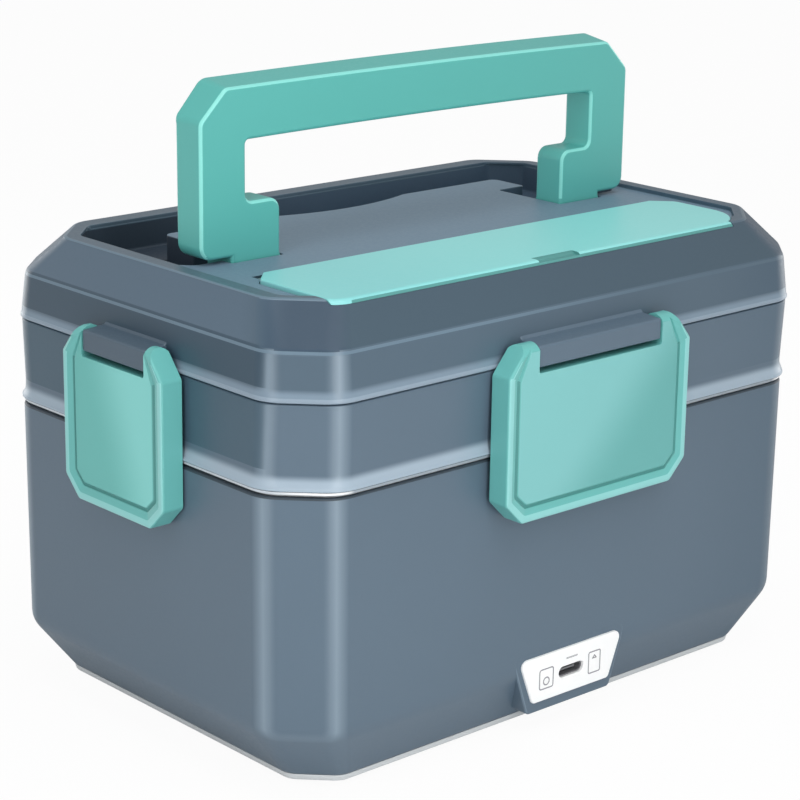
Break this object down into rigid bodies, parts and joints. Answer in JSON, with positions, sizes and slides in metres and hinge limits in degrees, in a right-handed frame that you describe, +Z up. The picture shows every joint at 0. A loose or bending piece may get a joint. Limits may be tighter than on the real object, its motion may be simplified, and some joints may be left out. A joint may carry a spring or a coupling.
{
  "type": "electric lunch box",
  "caption": "Electric lunch box with a bevelled slate base, steel food container, lift-off lid clamped by hinged latches, fold-down handle and a cutlery compartment under a mint cover.",
  "frame": {"origin": "on the surface it stands on, under the middle of the feet", "axes": "+X along the long side, towards the right latch; +Y towards the back latch, with the socket on the -Y side; +Z up"},
  "size_m": [0.2484, 0.176, 0.2094],
  "materials": {
    "slate_plastic": "satin",
    "pale_plastic": "satin",
    "plate_metal": "brushed",
    "tube_metal": "heat-tinted",
    "black_plastic": "matt",
    "fuse_ceramic": "matt",
    "board_green": "satin",
    "socket_metal": "satin",
    "white_plastic": "satin",
    "wire_red": "matt",
    "screw_steel": "plated",
    "feet_rubber": "matt",
    "food_steel": "brushed",
    "tray_plastic": "satin",
    "seal_silicone": "matt",
    "teal_plastic": "satin",
    "mint_plastic": "satin",
    "latch_plastic": "satin"
  },
  "bodies": {
    "base": {"outer_shell": "slate_plastic", "inner_liner": "pale_plastic", "heating_plate": "plate_metal", "heating_element": "tube_metal", "thermostat": "black_plastic", "thermal_fuse": "fuse_ceramic", "control_board": "board_green", "power_socket": "socket_metal", "socket_plate": "white_plastic", "inner_wires": "wire_red", "bottom_cover": "pale_plastic", "bottom_screws": "screw_steel", "rubber_feet": "feet_rubber"},
    "container": {"steel_container": "food_steel"},
    "tray": {"food_tray": "tray_plastic"},
    "lid": {"lid_top": "slate_plastic", "lid_ring": "slate_plastic", "lid_liner": "pale_plastic", "seal_ring": "seal_silicone", "lid_screws": "screw_steel", "latch_pins": "screw_steel", "handle_pins": "screw_steel", "cover_pins": "screw_steel", "cutlery_well": "pale_plastic", "spoon": "food_steel"},
    "handle": {"handle": "teal_plastic"},
    "cover": {"cutlery_cover": "mint_plastic"},
    "front_clasp": {"latch_front": "latch_plastic"},
    "back_clasp": {"latch_back": "latch_plastic"},
    "left_clasp": {"latch_left": "latch_plastic"},
    "right_clasp": {"latch_right": "latch_plastic"}
  },
  "joints": [
    {"name": "lid_lift", "type": "slide", "parent": "base", "child": "lid", "axis": [0, 0, 1], "range_m": [0, 0.22]},
    {"name": "tray_lift", "type": "slide", "parent": "base", "child": "tray", "axis": [0, 0, 1], "range_m": [0, 0.154]},
    {"name": "container_lift", "type": "slide", "parent": "base", "child": "container", "axis": [0, 0, 1], "range_m": [0, 0.0924]},
    {"name": "handle_fold", "type": "hinge", "parent": "lid", "child": "handle", "pos_m": [0, 0, 0.1502], "axis": [-1, 0, 0], "range_deg": [0, 90]},
    {"name": "cover_open", "type": "hinge", "parent": "lid", "child": "cover", "pos_m": [0, -0.0272, 0.1518], "axis": [-1, 0, 0], "range_deg": [0, 100]},
    {"name": "front_latch_swing", "type": "hinge", "parent": "lid", "child": "front_clasp", "pos_m": [0, -0.0836, 0.13], "axis": [-1, 0, 0], "range_deg": [0, 110]},
    {"name": "back_latch_swing", "type": "hinge", "parent": "lid", "child": "back_clasp", "pos_m": [0, 0.0836, 0.13], "axis": [1, 0, 0], "range_deg": [0, 110]},
    {"name": "left_latch_swing", "type": "hinge", "parent": "lid", "child": "left_clasp", "pos_m": [-0.1198, 0, 0.13], "axis": [0, 1, 0], "range_deg": [0, 110]},
    {"name": "right_latch_swing", "type": "hinge", "parent": "lid", "child": "right_clasp", "pos_m": [0.1198, 0, 0.13], "axis": [0, -1, 0], "range_deg": [0, 110]}
  ],
  "couplings": [
    {"joint": "tray_lift", "follows": "lid_lift", "ratio": 0.7},
    {"joint": "container_lift", "follows": "lid_lift", "ratio": 0.42}
  ]
}
